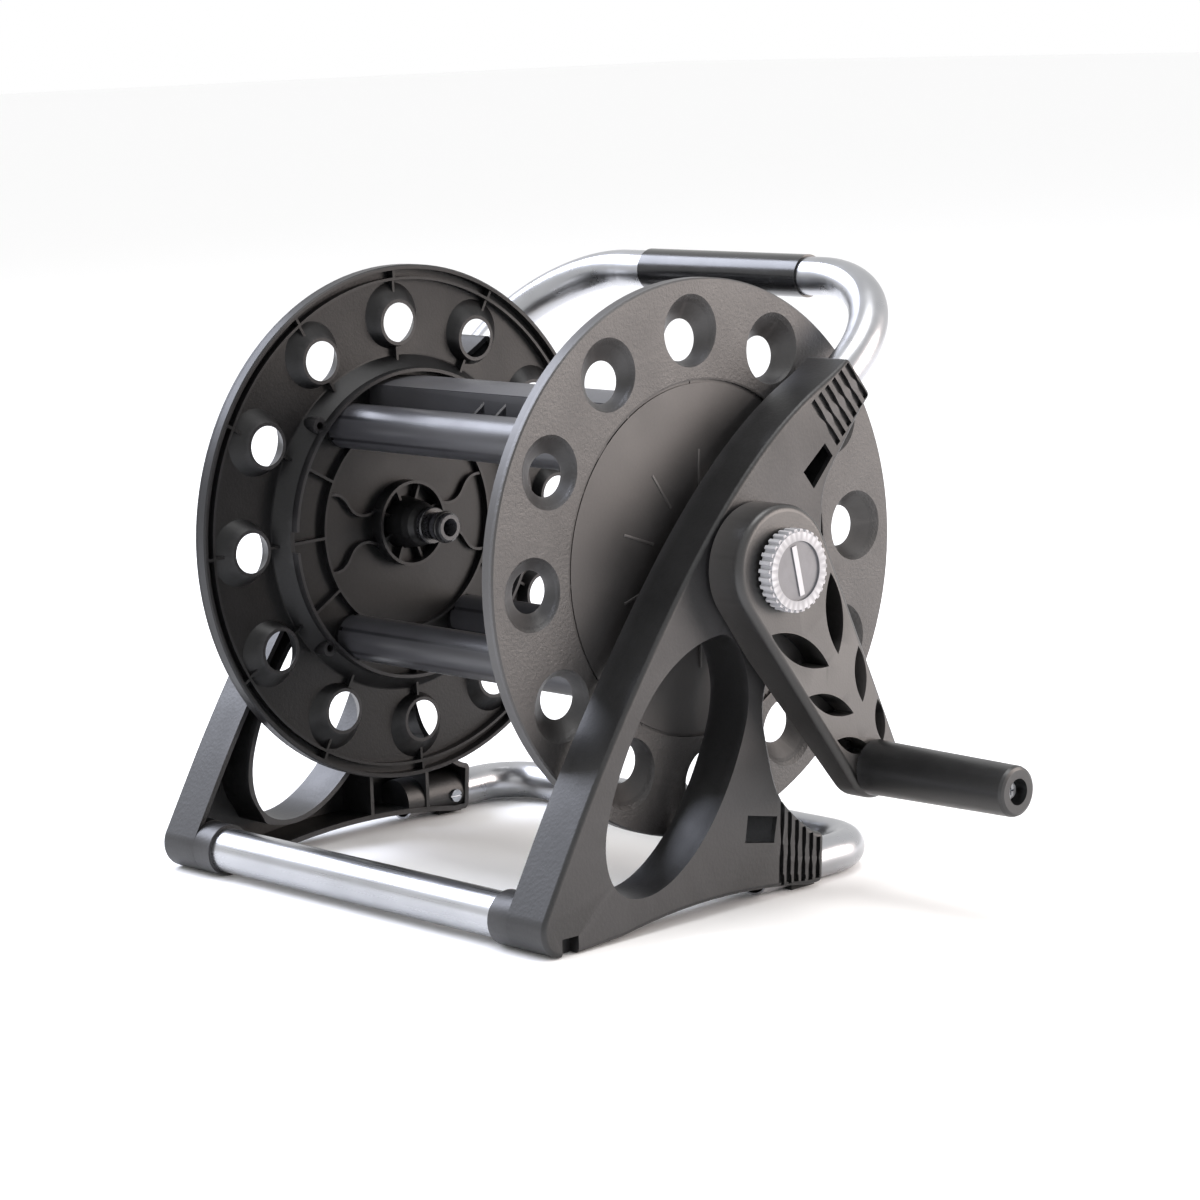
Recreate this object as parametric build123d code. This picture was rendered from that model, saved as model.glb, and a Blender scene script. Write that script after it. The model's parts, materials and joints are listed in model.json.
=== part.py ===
from build123d import *
import os
from math import acos, atan2, cos, degrees, radians, sin, tan

# Free-standing garden hose reel.  Millimetres, +Z up.
# Everything is drawn about the reel's axis: x runs along the axis towards the crank,
# y runs to the rear and z up.  write() then moves it onto the floor.

# Clearances
running_gap = 0.05      # shaft in bush, radial
seat_gap = 0.05         # parts that are pushed together, radial
axial_gap = 0.3         # faces that turn past each other

# Reel
reel_half_width = 123.5     # middle of the reel to a flange's outer face
flange_radius = 150.0
rim_depth = 8.6
rim_wall = 2.6
web = 2.6
disc_radius = 96.0          # smooth disc inside the grained ring
disc_sink = 1.0
groove_width = 1.6
groove_depth = 0.7
stiffening_radius = 143.0   # second ring inside the rim
stiffening_depth = 7.4
rib_thickness = 1.6
hole_count = 12
hole_phase = 1.4            # degrees
cup_circle = 122.5          # where the dished mouths sit
cup_radius = 19.5
hole_circle = 117.2         # where the through holes sit
hole_radius = 11.3
cup_depth = 9.2
cup_wall = 2.0

# Core of the reel
post_radius = 13.0
post_wall = 2.4
post_circle = 75.0
post_angle = 55.0           # above and below the horizontal, front and rear
post_seat = 2.4             # raised pad that a post stands on
spigot_length = 11.0
lip_thickness = 2.5
lip_depth = 16.0
cone_foot_radius = 99.0
rib_circle = 62.4
rib_circle_depth = 7.5
post_plug_at = 1.5          # gap between the spigot's tip and the plug in a post's left end
post_floor = 4.0            # that plug's length, which the screw bites into
screw_hole_radius = 2.7
screw_radius = 2.4
screw_head_radius = 4.6
screw_head = 3.0
bridge_radius = 86.0
bridge_wall = 2.6
bridge_from = 66.0          # degrees
bridge_to = 105.0
boss_circle = 93.0
boss_angle = 43.5
boss_radius = 4.6
boss_depth = 13.0

# Hub
hub_ring_radius = 25.0
hub_ring_depth = 12.0
hub_ring_wall = 1.8
dome_radius = 13.5
dome_centre = 16.0          # depth of the dome's centre from the outer face
axle_radius = 13.0
bush_wall = 3.5
bush_collar = 2.4
bearing_wall = 4.0

# Side frames
frame_gap = 8.0             # flange to frame
frame_depth = 28.5
frame_wall = 3.0
frame_round = 2.6
corner_round = 3.4
frame_rib = 2.4
slot_depth = 2.2
axis_height = 184.0         # reel's axis above the floor
foot_clear = 2.5            # the rubber pads stand this much proud of the frame

foot_pad_spans = [(-122.0, -104.0), (33.0, 51.0)]
foot_pad_height = 4.0

# Tubes
tube_radius = 11.0          # handle and rear tube
front_tube_radius = 12.5
tube_wall = 1.2
tube_inset = 14.5           # a frame's inner face to a socket's axis
socket_wall = 2.6
front_tube_y = -141.9
front_tube_z = -169.3
front_boss_length = 14.3    # how far the front socket stands in from a frame
front_boss_wall = 2.1
front_tube_cover = 8.0      # frame left outside the front tube's end
rear_tube_z = -172.3
rear_socket_end = 52.8
rear_insert = 44.0
rear_straight = 20.2
rear_bend = 28.0
rear_shoulder_z = -154.5
handle_y = 89.2             # middle of the upper socket's end
handle_z = 91.6
handle_slope = 38.5
handle_insert = 58.0
handle_room = 52.856        # a disc's rim to the grip's axis, less the socket's lean
handle_bend = 67.0
lock_screw_radius = 1.9      # the screws that pin the tubes in their sockets
lock_head_radius = 3.8
lock_head = 2.2
sleeve_half = 63.4
sleeve_shift = 5.0          # the sleeve sits a little towards the crank
sleeve_wall = 1.2

# Crank
crank_gap = 3.0             # side frame to the arm's back
crank_depth = 23.0          # the arm's back to its face at the axis
crank_slope = 2.4           # the face leans outwards towards the grip, degrees
back_slope = 7.5            # the back leans more, so the arm thins towards the grip
back_flat = 40.0            # how far along the arm the back starts to lean
crank_y = 58.0              # the grip's axis
crank_z = -114.5
head_radius = 34.0
tail_radius = 19.5
tail_y = 61.5               # the arm's rounded end, a little behind the grip's axis
tail_z = -113.0
spindle_seat_depth = 15.5   # counterbore in the arm's back for the spindle's head
spindle_head = 3.0
crank_round = 4.0
leaf_depth = 17.0
square_side = 18.0
square_length = 13.0        # the axle's square inside the arm
knob_radius = 22.0
knob_depth = 8.2
knob_teeth = 31
grip_length = 100.0
grip_radius_base = 15.2
grip_radius_end = 13.6
grip_pin_radius = 5.0
grip_recess_radius = 7.0
grip_recess_depth = 9.0

# Water joint on the left
spindle_radius = 9.0
water_bore = 5.2
collar_nut_radius = 17.5
nipple_radius = 8.0
nipple_shank = 7.0
seal_minor = 1.15           # rubber rings' section radius

# Worked out from the sizes above
frame_in = reel_half_width + frame_gap
frame_out = frame_in + frame_depth
tube_line = frame_in + tube_inset
front_boss_inner = frame_in - front_boss_length
front_tube_half = frame_out - front_tube_cover
handle_reach = flange_radius + handle_room - (handle_y ** 2 + handle_z ** 2) ** 0.5
crank_back = frame_out + crank_gap
crank_face = crank_back + crank_depth
spindle_seat = crank_back + spindle_seat_depth
square_end = crank_back + square_length
web_inner = disc_sink + web
seat_depth = web_inner + post_seat
lip_radius = post_circle + post_radius + 0.5
bush_radius = axle_radius + running_gap + bush_wall
bearing_radius = bush_radius + seat_gap + bearing_wall
bush_bore = axle_radius + running_gap
socket_radius = tube_radius + seat_gap + socket_wall
arm_length = (crank_y ** 2 + crank_z ** 2) ** 0.5
arm_angle = degrees(atan2(crank_z, crank_y))
grip_base = crank_face + arm_length * sin(radians(crank_slope)) + 1.2
grip_end = grip_base + grip_length
knob_seat = crank_face + knob_radius * sin(radians(crank_slope)) + axial_gap
knob_end = knob_seat + knob_depth
axle_end = frame_out + 1.8

elbow_shoulder = 3.0
nut_lip = 3.0
stub_end = frame_out + 5.5
nut_end = stub_end + axial_gap + elbow_shoulder + axial_gap + nut_lip
elbow_axis = nut_end + 13.0
elbow_radius = 11.0
elbow_cuff_radius = elbow_radius + 1.5
inlet_end = elbow_axis + elbow_cuff_radius

slope = radians(handle_slope)
handle_dir = Vector(0, cos(slope), sin(slope))
foot_radius = front_tube_radius + seat_gap + front_boss_wall
front_reach = front_tube_y - foot_radius
rear_reach = handle_y + handle_reach * cos(radians(handle_slope)) + tube_radius + seat_gap + sleeve_wall
floor_shift = Location((
    -(grip_end - inlet_end) / 2,
    -(front_reach + rear_reach) / 2,
    axis_height,
))


# ---------------------------------------------------------------- helpers

def turned(points):
    """Solid of revolution about the reel's axis from (x, radius) points."""
    return revolve(make_face(Polyline(*points, close=True)), axis=Axis.X)


def rod(x0, x1, radius, y=0.0, z=0.0):
    """Cylinder along x."""
    face = Plane.YZ.offset(x0) * Pos(y, z) * Circle(radius)
    return extrude(face, x1 - x0)


def pipe(x0, x1, outer, inner, y=0.0, z=0.0):
    return rod(x0, x1, outer, y, z) - rod(x0 - 1, x1 + 1, inner, y, z)


def block(x0, x1, y0, y1, z0, z1):
    centre = Pos((x0 + x1) / 2, (y0 + y1) / 2, (z0 + z1) / 2)
    return centre * Box(x1 - x0, y1 - y0, z1 - z0)


def about_axis(shape, angle):
    return Rot(X=angle) * shape


def slab(face_yz, x0, x1):
    """Extrude a face drawn in (y, z) from x0 to x1."""
    return extrude(Plane.YZ.offset(x0) * face_yz, x1 - x0)


def bar_along(start, direction, length, radius):
    """Cylinder from a point along a direction."""
    plane = Plane(origin=start, z_dir=direction)
    return extrude(plane * Circle(radius), length)


def write(name, shape):
    shape = floor_shift * shape
    shape.label = name
    export_step(shape, f"parts/{name}.step")
    print(name)


def group(solids):
    return Compound(children=[s for part in solids for s in part.solids()])


# ---------------------------------------------------------------- flanges
# One moulding serves both sides.  Depth is measured inwards from the outer face.

def depth(d):
    return reel_half_width - d


def flange_plate():
    chamfer_size = 0.8
    plate = turned([
        (depth(disc_sink), 0),
        (depth(disc_sink), disc_radius - groove_width),
        (depth(disc_sink + groove_depth), disc_radius - groove_width),
        (depth(disc_sink + groove_depth), disc_radius),
        (depth(0), disc_radius),
        (depth(0), flange_radius - chamfer_size),
        (depth(chamfer_size), flange_radius),
        (depth(rim_depth - chamfer_size), flange_radius),
        (depth(rim_depth), flange_radius - chamfer_size),
        (depth(rim_depth), flange_radius - rim_wall),
        (depth(web), flange_radius - rim_wall),
        (depth(web), disc_radius + web),
        (depth(web_inner), disc_radius),
        (depth(web_inner), 0),
    ])
    stiffener = turned([
        (depth(web), stiffening_radius),
        (depth(stiffening_depth), stiffening_radius),
        (depth(stiffening_depth), stiffening_radius - rib_thickness),
        (depth(web), stiffening_radius - rib_thickness),
    ])
    lip_outer = lip_radius + lip_thickness
    drum_ring = turned([
        (depth(web / 2), cone_foot_radius),
        (depth(lip_depth - 4), lip_outer),
        (depth(lip_depth), lip_outer - 0.6),
        (depth(lip_depth), lip_radius),
        (depth(lip_depth - 6), lip_radius),
        (depth(web), cone_foot_radius - 5),
    ])
    inner_ring = turned([
        (depth(disc_sink), rib_circle - rib_thickness / 2),
        (depth(rib_circle_depth), rib_circle - rib_thickness / 2),
        (depth(rib_circle_depth), rib_circle + rib_thickness / 2),
        (depth(disc_sink), rib_circle + rib_thickness / 2),
    ])
    hub_ring = turned([
        (depth(disc_sink), hub_ring_radius - hub_ring_wall),
        (depth(hub_ring_depth), hub_ring_radius - hub_ring_wall),
        (depth(hub_ring_depth), hub_ring_radius),
        (depth(disc_sink), hub_ring_radius),
    ])
    return plate + stiffener + drum_ring + inner_ring + hub_ring


def radial_rib(angle, r0, r1, depth0, depth1):
    half = rib_thickness / 2
    return about_axis(block(depth(depth1), depth(depth0), r0, r1, -half, half), angle)


def cup(extra_radius, d0, d1):
    """Oblique cone from a dished mouth to a through hole, at angle 0."""
    lean = (hole_circle - cup_circle) / cup_depth
    taper = (hole_radius - cup_radius) / cup_depth

    def circle_at(d):
        radius = cup_radius + taper * d + extra_radius
        return Plane.YZ.offset(depth(d)) * Pos(cup_circle + lean * d, 0) * Circle(radius)

    return loft([circle_at(d1), circle_at(d0)])


def wavy_rib():
    """Bracket rib from the hub ring out to the rib circle, upper rear quarter."""
    path = Spline(
        (hub_ring_radius - 2.2, 10.5),
        (30, 8),
        (36.5, 8.6),
        (41.5, 12),
        (45.5, 17.6),
        (50, 21.4),
        (56, 22.6),
        (rib_circle - 4.0, 22.6),
    )
    return slab(trace(path, rib_thickness), depth(rib_circle_depth - 0.6), depth(disc_sink + 1))


def post_places():
    for up in (1, -1):
        for rear in (1, -1):
            y = rear * post_circle * cos(radians(post_angle))
            z = up * post_circle * sin(radians(post_angle))
            yield y, z


def flange():
    body = flange_plate()
    angles = [hole_phase + i * 360 / hole_count for i in range(hole_count)]
    ribs = []
    for angle in angles:
        ribs.append(radial_rib(angle, lip_radius + 1, stiffening_radius, web / 2, 6.4))
        ribs.append(radial_rib(angle, stiffening_radius - 1, flange_radius - 1, web / 2, stiffening_depth))
        if not bridge_from < angle < bridge_to:
            ribs.append(radial_rib(angle, rib_circle, lip_radius + 1, disc_sink + 1, rib_circle_depth))
    wave = wavy_rib()
    ribs += [
        wave,
        mirror(wave, Plane.XZ),
        mirror(wave, Plane.XY),
        mirror(mirror(wave, Plane.XY), Plane.XZ),
    ]
    for i in range(8):
        ribs.append(radial_rib(22.5 + 45 * i, 8, hub_ring_radius - 1, disc_sink + 1, 8.0))
    cups = [about_axis(cup(cup_wall, web / 2, cup_depth), angle) for angle in angles]
    bosses = []
    boss_holes = []
    for angle in (boss_angle, -boss_angle, 180 - boss_angle, 180 + boss_angle):
        y = boss_circle * cos(radians(angle))
        z = boss_circle * sin(radians(angle))
        bosses.append(rod(depth(boss_depth), depth(web / 2), boss_radius, y, z))
        boss_holes.append(rod(depth(boss_depth + 1), depth(web), 2.2, y, z))
    body = body + ribs + cups + bosses
    body = body - boss_holes
    body = body - [about_axis(cup(0, -0.01, cup_depth + 2), angle) for angle in angles]
    # notch in the lip for the moulding's latch
    latch_half = 6.0
    body = body - block(
        depth(lip_depth + 1), depth(lip_depth - 4.5),
        -lip_radius - lip_thickness - 1, -lip_radius + 1, -latch_half, latch_half,
    )
    pads = []
    clear = []
    for y, z in post_places():
        clear.append(rod(depth(lip_depth + 1), depth(seat_depth), post_radius + seat_gap, y, z))
        pads.append(rod(depth(seat_depth), depth(web), post_radius, y, z))
        spigot = post_radius - post_wall - seat_gap
        pads.append(rod(depth(seat_depth + spigot_length), depth(web), spigot, y, z))
    return body - clear + pads


def right_flange():
    body = flange()
    cored = [
        rod(depth(seat_depth + spigot_length + 1), depth(seat_depth + 1), post_radius - post_wall - 2.4, y, z)
        for y, z in post_places()
    ]
    shoulder = axial_gap + bush_collar
    dome = turned([
        (depth(hub_ring_depth + 8), 0),
        (depth(hub_ring_depth + 7), 6),
        (depth(hub_ring_depth + 3), 11),
        (depth(hub_ring_depth - 2), dome_radius),
        (depth(disc_sink), dome_radius),
        (depth(disc_sink), bush_radius - 1.5),
        (frame_in - shoulder, bush_radius - 1.5),
        (frame_in - shoulder, axle_radius),
        (axle_end, axle_radius),
        (axle_end, 0),
    ])
    square = block(
        axle_end - 1, square_end,
        -square_side / 2, square_side / 2, -square_side / 2, square_side / 2,
    )
    square = about_axis(square, arm_angle)
    hole = rod(square_end - 22, square_end + 1, 4.0 + seat_gap)
    return body - cored + dome + square - hole


def left_flange():
    body = mirror(flange(), Plane.YZ)
    shoulder = axial_gap + bush_collar
    neck_end = -depth(dome_centre + 10.5)
    hub = turned([
        (neck_end, 0),
        (neck_end, 9.6),
        (neck_end - 3.0, 10.2),
        (-depth(dome_centre + 4.5), 12.2),
        (-depth(dome_centre), dome_radius),
        (-depth(dome_centre - 6), dome_radius + 0.8),
        (-depth(disc_sink), dome_radius + 2.5),
        (-(frame_in - shoulder), bush_radius - 1.5),
        (-(frame_in - shoulder), axle_radius),
        (-stub_end, axle_radius),
        (-stub_end, 0),
    ])
    spindle_bore = rod(-stub_end - 1, -depth(dome_centre - 7), spindle_radius + running_gap)
    waterway = rod(-stub_end, neck_end + 1, water_bore)
    nipple_socket = rod(neck_end - 9, neck_end + 1, nipple_shank + seat_gap)
    holes = []
    for y, z in post_places():
        holes.append(rod(-depth(0) - 1, -depth(seat_depth + spigot_length + 1), screw_hole_radius, y, z))
        holes.append(rod(-depth(0) - 1, -depth(disc_sink + screw_head), screw_head_radius + 0.4, y, z))
    return body + hub - spindle_bore - waterway - nipple_socket - holes


def outlet_nipple():
    """Quick-connect nipple on the hub, inside the reel, pointing at the crank."""
    start = -depth(dome_centre + 10.5)
    collar = start
    body = turned([
        (start - 8.5, 0),
        (start - 8.5, nipple_shank),
        (collar, nipple_shank),
        (collar, 10.6),
        (collar + 2.6, 10.8),
        (collar + 3.4, 10.2),
        (collar + 3.4, nipple_radius),
        (collar + 6.4, nipple_radius),
        (collar + 6.4, 6.6),
        (collar + 9.2, 6.6),
        (collar + 9.2, nipple_radius + 0.6),
        (collar + 12.4, nipple_radius + 0.6),
        (collar + 12.4, nipple_radius - 0.9),
        (collar + 14.8, nipple_radius - 0.9),
        (collar + 14.8, nipple_radius + 0.6),
        (collar + 16.8, nipple_radius + 0.4),
        (collar + 17.6, nipple_radius - 0.6),
        (collar + 17.6, 0),
    ])
    return body - rod(start - 10, collar + 20, water_bore)


def outlet_seal():
    collar = -depth(dome_centre + 10.5)
    minor = seal_minor
    ring = Pos(collar + 13.6, 0, 0) * Rot(Y=90) * Torus(nipple_radius - 0.9 + minor, minor)
    return ring


# ---------------------------------------------------------------- core posts

def core_post(y, z):
    half = reel_half_width - seat_depth
    inner = post_radius - post_wall
    body = rod(-half, half, post_radius, y, z)
    plug_start = -half + spigot_length + post_plug_at
    body -= rod(-half - 1, plug_start, inner, y, z)
    body -= rod(plug_start + post_floor, half + 1, inner, y, z)
    body -= rod(plug_start - 1, plug_start + post_floor + 1, screw_radius + seat_gap, y, z)
    # castellated left end
    for i in range(6):
        notch = rod(-half - 1, -half + 2.4, 1.6, 0, post_radius - 1.2)
        body -= Pos(0, y, z) * about_axis(notch, 60 * i)
    return body


def core_screw(y, z):
    under_head = -depth(disc_sink + screw_head)
    tip = -(reel_half_width - seat_depth) + spigot_length + post_plug_at + post_floor
    body = rod(under_head - screw_head + 0.4, under_head, screw_head_radius, y, z)
    body += rod(under_head, tip, screw_radius, y, z)
    cross = block(under_head - screw_head, under_head - 1.0, y - 2.6, y + 2.6, z - 0.5, z + 0.5)
    cross += block(under_head - screw_head, under_head - 1.0, y - 0.5, y + 0.5, z - 2.6, z + 2.6)
    return body - cross


def core_bridge():
    """Curved wall over the top of the core, which the hose's first turn lies on."""
    half = reel_half_width - web_inner
    inner = bridge_radius - bridge_wall
    wall = pipe(-half, half, bridge_radius, inner)
    keep = Polyline(
        (0, 0),
        (200 * cos(radians(bridge_from)), 200 * sin(radians(bridge_from))),
        (200 * cos(radians(bridge_to)), 200 * sin(radians(bridge_to))),
        close=True,
    )
    wall = wall & slab(make_face(keep), -half - 1, half + 1)
    y_front = bridge_radius * cos(radians(bridge_to))
    z_top = bridge_radius * sin(radians(bridge_to))
    apron_foot = rib_circle + 4.0
    apron = block(-half, half, y_front, y_front + bridge_wall, apron_foot, z_top - 0.6)
    for x in (-21.0, -3.0, 15.0):
        window = make_face(Polyline((x - 12, apron_foot + 3), (x, apron_foot + 3), (x, apron_foot + 12), close=True))
        cut = extrude(Plane.XZ * window, 200, both=True)
        apron -= cut & block(-half, half, y_front - 5, y_front + 8, 0, 100)
    return wall + apron


# ---------------------------------------------------------------- side frames

def socket_point(along, across):
    """(y, z) from the middle of the upper socket's end."""
    y = handle_y + along * cos(slope) - across * sin(slope)
    z = handle_z + along * sin(slope) + across * cos(slope)
    return y, z


def frame_outline():
    half = socket_radius + 0.5
    tilt = radians(30)
    top_front = socket_point(0, half)
    top_rear = socket_point(0, -half)
    foot_low = (front_tube_y, front_tube_z - foot_radius)
    foot_front = (front_tube_y - foot_radius * cos(tilt), front_tube_z + foot_radius * sin(tilt))
    foot_mid = (front_tube_y - foot_radius * cos(tilt), front_tube_z - foot_radius * sin(tilt))
    rear_top = (rear_socket_end, rear_shoulder_z)
    sole = foot_clear - axis_height
    rear_low = (rear_socket_end - 2, sole)
    front_edge = Spline(
        foot_front, (-127.8, -115.9), (-68.4, -28.6), (6.4, 54.6), (52.3, 86.6), top_front,
        tangents=[(sin(tilt), cos(tilt)), (cos(slope), sin(slope))],
    )
    rear_edge = Spline(
        top_rear, (73.2, 52.7), (61.2, 36.7), (57.2, 18.7), (55.2, -7.2), (38.3, -37.1), (16.4, -57.1),
        (8.4, -77), (11.4, -102.9), (19.8, -128.9), (35.3, -144.8), rear_top,
        tangents=[(-cos(slope), -sin(slope)), (1, -0.15)],
    )
    face = make_face([
        front_edge,
        Line(top_front, top_rear),
        rear_edge,
        Line(rear_top, rear_low),
        Line(rear_low, (40, sole)),
        ThreePointArc((40, sole), (-28, sole + 6), (-100, sole)),
        Line((-100, sole), foot_low),
        ThreePointArc(foot_low, foot_mid, foot_front),
    ])
    sharp = [top_front, top_rear, rear_top, rear_low]
    corners = [v for v in face.vertices() if min((Vector(v.X, v.Y) - Vector(*c)).length for c in sharp) < 0.1]
    return fillet(corners, corner_round)


def redrawn(face):
    """The same outline with its curved stretches as plain splines."""
    edges = []
    for edge in face.faces()[0].outer_wire().edges():
        if edge.geom_type in (GeomType.LINE, GeomType.CIRCLE):
            edges.append(edge)
        else:
            points = [edge @ (k / 12) for k in range(13)]
            edges.append(Spline(*points, tangents=[edge % 0, edge % 1]))
    return make_face(Wire(edges))


def leaf_opening():
    edge = Spline(
        (-23.5, -34.1), (-48.5, -40.1), (-71.4, -55.6), (-91.4, -81.5), (-106.3, -111.4),
        (-111.3, -136.8), (-102.3, -158.3), (-81.4, -163.6), (-57.4, -154.8), (-29.5, -128.5),
        (-10.6, -95.9), (-4.1, -61),
        periodic=True,
    )
    return make_face(edge)


lower_window = [(-6.6, -134.3), (15.9, -138.8), (12.9, -152.8), (-9.3, -148.8)]
upper_window = [socket_point(-43.7, -8), socket_point(-43.7, -17.5), socket_point(-65.7, -20.5), socket_point(-65.7, -8)]


def hourglass_slot(number):
    """Slot across the upper socket, pinched in the middle; six in a row from the end."""
    along = -4.0 - 6.4 * number
    half_length = 12.0 + 0.7 * number
    wide = 1.1
    narrow = 0.45
    corners = [(wide, half_length), (narrow, 0), (wide, -half_length), (-wide, -half_length),
               (-narrow, 0), (-wide, half_length)]
    return make_face(Polyline(*[socket_point(along + a, c) for a, c in corners], close=True))


def lower_slot(column, row):
    """Pointed slot over the rear tube's socket; six columns in two rows."""
    y = 19.0 + 5.6 * column
    middle = -167.0 - 0.9 * column
    half = 1.2
    near = 3.4
    if row == 0:
        tip, neck, end = middle + near, middle + near + 2, middle + 12
    else:
        tip, neck, end = middle - near, middle - near - 2, foot_clear - axis_height + 4
    return make_face(Polyline((y - half, end), (y + half, end), (y + half, neck), (y, tip), (y - half, neck), close=True))


def strip(p, q, width):
    """Straight strip between two (y, z) points."""
    length = ((q[0] - p[0]) ** 2 + (q[1] - p[1]) ** 2) ** 0.5
    angle = degrees(atan2(q[1] - p[1], q[0] - p[0]))
    return Pos((p[0] + q[0]) / 2, (p[1] + q[1]) / 2) * Rot(Z=angle) * Rectangle(length, width)


def spoke(angle, r0, r1, width):
    """Radial strip about the bearing."""
    a = radians(angle)
    return strip((r0 * cos(a), r0 * sin(a)), (r1 * cos(a), r1 * sin(a)), width)


def frame_ribs():
    """Ribs on the open inner side: two beside the lower window, the rest about the bearing."""
    ribs = [
        strip((-24, -200), (-24, -110), frame_rib),
        strip((19, -200), (19, -120), frame_rib),
    ]
    for angle in (8, 78, 150, 235, 300):
        ribs.append(spoke(angle, bearing_radius - 1, 120, frame_rib))
    return ribs


def right_frame():
    outline = frame_outline()
    leaf = leaf_opening()
    shell = slab(outline - leaf, frame_in, frame_out)
    outer_face = shell.faces().sort_by(Axis.X)[-1]
    shell = fillet(outer_face.outer_wire().edges(), frame_round)
    shell += rod(front_boss_inner, frame_in + 2, foot_radius - 0.05, front_tube_y, front_tube_z)

    pocket = redrawn(offset(outline, -frame_wall)) - redrawn(offset(leaf, frame_wall))
    pocket -= Circle(bearing_radius)
    pocket -= Pos(front_tube_y, front_tube_z) * Circle(foot_radius + 0.4)
    for rib in frame_ribs():
        pocket -= rib
    pocket = slab(pocket, frame_in - 1, frame_out - frame_wall)
    upper_from = Vector(tube_line, *socket_point(-handle_insert - 4, 0))
    lower_from = Vector(tube_line, rear_socket_end - rear_insert - 4, rear_tube_z)
    rearward = Vector(0, 1, 0)
    pocket -= bar_along(upper_from, handle_dir, handle_insert + 20, socket_radius)
    pocket -= bar_along(lower_from, rearward, rear_insert + 20, socket_radius)
    pocket -= block(tube_line + 4, frame_out, 19, rear_socket_end, -axis_height, rear_tube_z - 6)
    body = shell - pocket

    body -= rod(frame_in - 5, frame_out + 1, bush_radius + seat_gap)
    body -= rod(front_boss_inner - 1, front_tube_half + 0.5, front_tube_radius + seat_gap,
                front_tube_y, front_tube_z)
    upper_end = Vector(tube_line, *socket_point(-handle_insert, 0))
    lower_end = Vector(tube_line, rear_socket_end - rear_insert, rear_tube_z)
    body -= bar_along(upper_end, handle_dir, handle_insert + 8, tube_radius + seat_gap)
    body -= bar_along(lower_end, rearward, rear_insert + 8, tube_radius + seat_gap)

    for number in range(6):
        body -= slab(hourglass_slot(number), frame_out - slot_depth, frame_out + 1)
    for column in range(6):
        for row in (0, 1):
            body -= slab(lower_slot(column, row), frame_out - slot_depth, frame_out + 1)
    for window in (lower_window, upper_window):
        opening = make_face(Polyline(*window, close=True))
        body -= slab(opening, frame_out - frame_wall - 1, frame_out + 1)
    for y, z, _ in screw_places():
        body -= rod(frame_in - 1, tube_line, lock_screw_radius + 0.3, y, z)
    for y0, y1 in foot_pad_spans:
        body -= foot_pad_block(y0, y1, seat_gap)
    return body


def screw_places():
    """Screws that pin the handle and the rear tube in their sockets, from the inner side."""
    for along in (-12.0, -46.0):
        y, z = socket_point(along, 0)
        yield y, z, "upper"
    yield rear_socket_end - 12.0, rear_tube_z, "lower"


def foot_pad_block(y0, y1, grow):
    x0 = frame_in + 7
    x1 = frame_out - 7
    z0 = -axis_height - grow
    return block(x0 - grow, x1 + grow, y0 - grow, y1 + grow, z0, z0 + foot_pad_height + 2 * grow)


# ---------------------------------------------------------------- tubes

def u_tube(points, radii, outer):
    """Bent tube along straight runs joined by arcs."""
    path = FilletPolyline(*points, radius=radii)
    start = path @ 0
    plane = Plane(origin=start, z_dir=path % 0)
    ring = plane * (Circle(outer) - Circle(outer - tube_wall))
    return sweep(ring, path=path)


def handle_tube():
    x = tube_line
    low = socket_point(-handle_insert + 1, 0)
    top = socket_point(handle_reach, 0)
    points = [(x, *low), (x, *top), (-x, *top), (-x, *low)]
    tube = u_tube(points, handle_bend, tube_radius)
    return tube - lock_holes("upper")


def rear_tube():
    x = tube_line
    front = rear_socket_end - rear_insert + 1
    back = rear_socket_end + rear_straight + rear_bend
    z = rear_tube_z
    points = [(x, front, z), (x, back, z), (-x, back, z), (-x, front, z)]
    tube = u_tube(points, rear_bend, tube_radius)
    return tube - lock_holes("lower")


def lock_holes(which):
    holes = []
    for y, z, where in screw_places():
        if where == which:
            for side in (1, -1):
                x0 = side * (tube_line - tube_radius - 1)
                x1 = side * (tube_line - 6)
                holes.append(rod(min(x0, x1), max(x0, x1), lock_screw_radius + seat_gap, y, z))
    return holes


def lock_screws():
    solids = []
    for y, z, _ in screw_places():
        under_head = tube_line - socket_radius
        screw = rod(under_head - lock_head, under_head, lock_head_radius, y, z)
        screw += rod(under_head - 0.1, tube_line - tube_radius + tube_wall + 3, lock_screw_radius, y, z)
        slot_half = 0.5
        screw -= block(under_head - lock_head - 1, under_head - lock_head + 1.0, y - 5, y + 5, z - slot_half, z + slot_half)
        solids += [screw, mirror(screw, Plane.YZ)]
    return group(solids)


def front_tube():
    return pipe(-front_tube_half, front_tube_half, front_tube_radius, front_tube_radius - tube_wall,
                front_tube_y, front_tube_z)


def handle_sleeve():
    y, z = socket_point(handle_reach, 0)
    inner = tube_radius + seat_gap
    outer = inner + sleeve_wall
    body = pipe(sleeve_shift - sleeve_half, sleeve_shift + sleeve_half, outer, inner, y, z)
    return body


def foot_pads():
    # the rear pads are hollowed where the rear tube lies in its socket just above them
    socket_start = Vector(tube_line, rear_socket_end - rear_insert - 4, rear_tube_z)
    tube_room = bar_along(socket_start, Vector(0, 1, 0), rear_insert + 20, tube_radius + seat_gap)
    solids = []
    for y0, y1 in foot_pad_spans:
        pad = foot_pad_block(y0, y1, 0) - tube_room
        solids += [pad, mirror(pad, Plane.YZ)]
    return group(solids)


# ---------------------------------------------------------------- bearings

def right_bush():
    collar_from = frame_in - bush_collar
    body = rod(collar_from, frame_out, bush_radius) + rod(collar_from, frame_in, bush_radius + 2.5)
    return body - rod(collar_from - 1, frame_out + 1, bush_bore)


# ---------------------------------------------------------------- crank

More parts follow.
